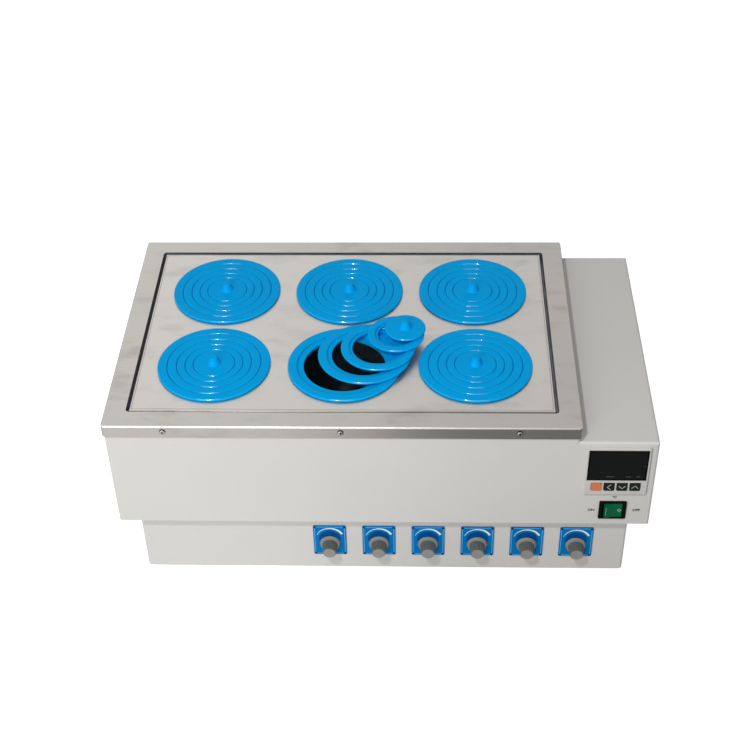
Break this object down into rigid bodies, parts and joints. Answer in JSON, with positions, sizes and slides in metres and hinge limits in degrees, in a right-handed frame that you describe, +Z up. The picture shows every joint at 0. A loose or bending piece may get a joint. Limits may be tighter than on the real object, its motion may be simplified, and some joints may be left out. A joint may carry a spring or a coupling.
{
  "type": "laboratory stirring water bath",
  "caption": "Bench-top water bath with a stainless tank, nested blue ring lids, temperature controller and stirring speed knobs",
  "frame": {"origin": "under the middle of the whole bath, on the table that its feet stand on", "axes": "+X to the right as the operator sees it, +Y to the back, +Z up"},
  "size_m": [0.622, 0.365, 0.28],
  "materials": {
    "housing_paint": "warm off-white powder coat, satin",
    "stainless": "satin stainless sheet with handling smudges",
    "lid_blue": "satin blue moulded plastic",
    "zinc_sheet": "plain grey sheet",
    "foot_rubber": "matt black rubber",
    "screw_steel": "bright pan-head screws",
    "mineral_wool": "loose yellow wool",
    "heater_steel": "drawn stainless tube",
    "coil_iron": "varnished coils on iron yokes",
    "dial_blue": "printed blue plate",
    "knob_grey": "satin grey moulded plastic",
    "inner_black": "plain black",
    "bezel_grey": "fine-textured light grey",
    "window_black": "dark tinted acrylic",
    "key_orange": "satin orange",
    "key_dark": "satin dark green-black",
    "switch_black": "glossy black",
    "rocker_green": "dark translucent green",
    "inlet_black": "matt black"
  },
  "bodies": {
    "bath": {"upper_housing": "housing_paint", "base_housing": "housing_paint", "bottom_plate": "zinc_sheet", "rubber_feet": "foot_rubber", "rim_frame": "stainless", "rim_screws": "screw_steel", "tank_plates": "stainless", "tank_walls": "stainless", "tank_insulation": "mineral_wool", "heater_and_probe": "heater_steel", "stirring_coils": "coil_iron", "drain_outlet": "heater_steel", "dial_plates": "dial_blue", "speed_controls": "inner_black", "controller_case": "bezel_grey", "display_window": "window_black", "switch_body": "switch_black", "power_inlet": "inlet_black"},
    "lid_plate": {"lid_plate": "stainless"},
    "front_left_ring_1": {"front_left_ring_1": "lid_blue"},
    "front_left_ring_2": {"front_left_ring_2": "lid_blue"},
    "front_left_ring_3": {"front_left_ring_3": "lid_blue"},
    "front_left_ring_4": {"front_left_ring_4": "lid_blue"},
    "front_left_cap": {"front_left_cap": "lid_blue"},
    "front_middle_ring_1": {"front_middle_ring_1": "lid_blue"},
    "front_middle_ring_2": {"front_middle_ring_2": "lid_blue"},
    "front_middle_ring_3": {"front_middle_ring_3": "lid_blue"},
    "front_middle_ring_4": {"front_middle_ring_4": "lid_blue"},
    "front_middle_cap": {"front_middle_cap": "lid_blue"},
    "front_right_ring_1": {"front_right_ring_1": "lid_blue"},
    "front_right_ring_2": {"front_right_ring_2": "lid_blue"},
    "front_right_ring_3": {"front_right_ring_3": "lid_blue"},
    "front_right_ring_4": {"front_right_ring_4": "lid_blue"},
    "front_right_cap": {"front_right_cap": "lid_blue"},
    "back_left_ring_1": {"back_left_ring_1": "lid_blue"},
    "back_left_ring_2": {"back_left_ring_2": "lid_blue"},
    "back_left_ring_3": {"back_left_ring_3": "lid_blue"},
    "back_left_ring_4": {"back_left_ring_4": "lid_blue"},
    "back_left_cap": {"back_left_cap": "lid_blue"},
    "back_middle_ring_1": {"back_middle_ring_1": "lid_blue"},
    "back_middle_ring_2": {"back_middle_ring_2": "lid_blue"},
    "back_middle_ring_3": {"back_middle_ring_3": "lid_blue"},
    "back_middle_ring_4": {"back_middle_ring_4": "lid_blue"},
    "back_middle_cap": {"back_middle_cap": "lid_blue"},
    "back_right_ring_1": {"back_right_ring_1": "lid_blue"},
    "back_right_ring_2": {"back_right_ring_2": "lid_blue"},
    "back_right_ring_3": {"back_right_ring_3": "lid_blue"},
    "back_right_ring_4": {"back_right_ring_4": "lid_blue"},
    "back_right_cap": {"back_right_cap": "lid_blue"},
    "speed_knob_1": {"speed_knob_1": "knob_grey"},
    "speed_knob_2": {"speed_knob_2": "knob_grey"},
    "speed_knob_3": {"speed_knob_3": "knob_grey"},
    "speed_knob_4": {"speed_knob_4": "knob_grey"},
    "speed_knob_5": {"speed_knob_5": "knob_grey"},
    "speed_knob_6": {"speed_knob_6": "knob_grey"},
    "power_rocker": {"power_rocker": "rocker_green"},
    "set_key": {"set_key": "key_orange"},
    "shift_key": {"shift_key": "key_dark"},
    "down_key": {"down_key": "key_dark"},
    "up_key": {"up_key": "key_dark"}
  },
  "joints": [
    {"name": "lid_plate_lift", "type": "slide", "parent": "bath", "child": "lid_plate", "axis": [0, 0, 1], "range_m": [0, 0.06]},
    {"name": "front_left_ring_1_lift", "type": "slide", "parent": "lid_plate", "child": "front_left_ring_1", "axis": [0, 0, 1], "range_m": [0, 0.03]},
    {"name": "front_left_ring_2_lift", "type": "slide", "parent": "front_left_ring_1", "child": "front_left_ring_2", "axis": [0, 0, 1], "range_m": [0, 0.03]},
    {"name": "front_left_ring_3_lift", "type": "slide", "parent": "front_left_ring_2", "child": "front_left_ring_3", "axis": [0, 0, 1], "range_m": [0, 0.03]},
    {"name": "front_left_ring_4_lift", "type": "slide", "parent": "front_left_ring_3", "child": "front_left_ring_4", "axis": [0, 0, 1], "range_m": [0, 0.03]},
    {"name": "front_left_cap_lift", "type": "slide", "parent": "front_left_ring_4", "child": "front_left_cap", "axis": [0, 0, 1], "range_m": [0, 0.03]},
    {"name": "front_middle_ring_1_lift", "type": "slide", "parent": "lid_plate", "child": "front_middle_ring_1", "axis": [0, 0, 1], "range_m": [0, 0.03]},
    {"name": "front_middle_ring_2_lift", "type": "slide", "parent": "front_middle_ring_1", "child": "front_middle_ring_2", "axis": [0, 0, 1], "range_m": [0, 0.03]},
    {"name": "front_middle_ring_3_lift", "type": "slide", "parent": "front_middle_ring_2", "child": "front_middle_ring_3", "axis": [0, 0, 1], "range_m": [0, 0.03]},
    {"name": "front_middle_ring_4_lift", "type": "slide", "parent": "front_middle_ring_3", "child": "front_middle_ring_4", "axis": [0, 0, 1], "range_m": [0, 0.03]},
    {"name": "front_middle_cap_lift", "type": "slide", "parent": "front_middle_ring_4", "child": "front_middle_cap", "axis": [0, 0, 1], "range_m": [0, 0.03]},
    {"name": "front_right_ring_1_lift", "type": "slide", "parent": "lid_plate", "child": "front_right_ring_1", "axis": [0, 0, 1], "range_m": [0, 0.03]},
    {"name": "front_right_ring_2_lift", "type": "slide", "parent": "front_right_ring_1", "child": "front_right_ring_2", "axis": [0, 0, 1], "range_m": [0, 0.03]},
    {"name": "front_right_ring_3_lift", "type": "slide", "parent": "front_right_ring_2", "child": "front_right_ring_3", "axis": [0, 0, 1], "range_m": [0, 0.03]},
    {"name": "front_right_ring_4_lift", "type": "slide", "parent": "front_right_ring_3", "child": "front_right_ring_4", "axis": [0, 0, 1], "range_m": [0, 0.03]},
    {"name": "front_right_cap_lift", "type": "slide", "parent": "front_right_ring_4", "child": "front_right_cap", "axis": [0, 0, 1], "range_m": [0, 0.03]},
    {"name": "back_left_ring_1_lift", "type": "slide", "parent": "lid_plate", "child": "back_left_ring_1", "axis": [0, 0, 1], "range_m": [0, 0.03]},
    {"name": "back_left_ring_2_lift", "type": "slide", "parent": "back_left_ring_1", "child": "back_left_ring_2", "axis": [0, 0, 1], "range_m": [0, 0.03]},
    {"name": "back_left_ring_3_lift", "type": "slide", "parent": "back_left_ring_2", "child": "back_left_ring_3", "axis": [0, 0, 1], "range_m": [0, 0.03]},
    {"name": "back_left_ring_4_lift", "type": "slide", "parent": "back_left_ring_3", "child": "back_left_ring_4", "axis": [0, 0, 1], "range_m": [0, 0.03]},
    {"name": "back_left_cap_lift", "type": "slide", "parent": "back_left_ring_4", "child": "back_left_cap", "axis": [0, 0, 1], "range_m": [0, 0.03]},
    {"name": "back_middle_ring_1_lift", "type": "slide", "parent": "lid_plate", "child": "back_middle_ring_1", "axis": [0, 0, 1], "range_m": [0, 0.03]},
    {"name": "back_middle_ring_2_lift", "type": "slide", "parent": "back_middle_ring_1", "child": "back_middle_ring_2", "axis": [0, 0, 1], "range_m": [0, 0.03]},
    {"name": "back_middle_ring_3_lift", "type": "slide", "parent": "back_middle_ring_2", "child": "back_middle_ring_3", "axis": [0, 0, 1], "range_m": [0, 0.03]},
    {"name": "back_middle_ring_4_lift", "type": "slide", "parent": "back_middle_ring_3", "child": "back_middle_ring_4", "axis": [0, 0, 1], "range_m": [0, 0.03]},
    {"name": "back_middle_cap_lift", "type": "slide", "parent": "back_middle_ring_4", "child": "back_middle_cap", "axis": [0, 0, 1], "range_m": [0, 0.03]},
    {"name": "back_right_ring_1_lift", "type": "slide", "parent": "lid_plate", "child": "back_right_ring_1", "axis": [0, 0, 1], "range_m": [0, 0.03]},
    {"name": "back_right_ring_2_lift", "type": "slide", "parent": "back_right_ring_1", "child": "back_right_ring_2", "axis": [0, 0, 1], "range_m": [0, 0.03]},
    {"name": "back_right_ring_3_lift", "type": "slide", "parent": "back_right_ring_2", "child": "back_right_ring_3", "axis": [0, 0, 1], "range_m": [0, 0.03]},
    {"name": "back_right_ring_4_lift", "type": "slide", "parent": "back_right_ring_3", "child": "back_right_ring_4", "axis": [0, 0, 1], "range_m": [0, 0.03]},
    {"name": "back_right_cap_lift", "type": "slide", "parent": "back_right_ring_4", "child": "back_right_cap", "axis": [0, 0, 1], "range_m": [0, 0.03]},
    {"name": "speed_knob_1_turn", "type": "hinge", "parent": "bath", "child": "speed_knob_1", "pos_m": [-0.06275, -0.1825, 0.0515], "axis": [0, 1, 0], "range_deg": [0, 300]},
    {"name": "speed_knob_2_turn", "type": "hinge", "parent": "bath", "child": "speed_knob_2", "pos_m": [-0.00405, -0.1825, 0.0515], "axis": [0, 1, 0], "range_deg": [0, 300]},
    {"name": "speed_knob_3_turn", "type": "hinge", "parent": "bath", "child": "speed_knob_3", "pos_m": [0.05465, -0.1825, 0.0515], "axis": [0, 1, 0], "range_deg": [0, 300]},
    {"name": "speed_knob_4_turn", "type": "hinge", "parent": "bath", "child": "speed_knob_4", "pos_m": [0.11335, -0.1825, 0.0515], "axis": [0, 1, 0], "range_deg": [0, 300]},
    {"name": "speed_knob_5_turn", "type": "hinge", "parent": "bath", "child": "speed_knob_5", "pos_m": [0.17205, -0.1825, 0.0515], "axis": [0, 1, 0], "range_deg": [0, 300]},
    {"name": "speed_knob_6_turn", "type": "hinge", "parent": "bath", "child": "speed_knob_6", "pos_m": [0.23075, -0.1825, 0.0515], "axis": [0, 1, 0], "range_deg": [0, 300]},
    {"name": "power_rocker_tilt", "type": "hinge", "parent": "bath", "child": "power_rocker", "pos_m": [0.26685, -0.1734, 0.1233], "axis": [0, 0, -1], "range_deg": [0, 18]},
    {"name": "set_key_press", "type": "slide", "parent": "bath", "child": "set_key", "axis": [0, 1, 0], "range_m": [0, 0.0008], "stiffness_N_per_m": 400},
    {"name": "shift_key_press", "type": "slide", "parent": "bath", "child": "shift_key", "axis": [0, 1, 0], "range_m": [0, 0.0008], "stiffness_N_per_m": 400},
    {"name": "down_key_press", "type": "slide", "parent": "bath", "child": "down_key", "axis": [0, 1, 0], "range_m": [0, 0.0008], "stiffness_N_per_m": 400},
    {"name": "up_key_press", "type": "slide", "parent": "bath", "child": "up_key", "axis": [0, 1, 0], "range_m": [0, 0.0008], "stiffness_N_per_m": 400}
  ]
}
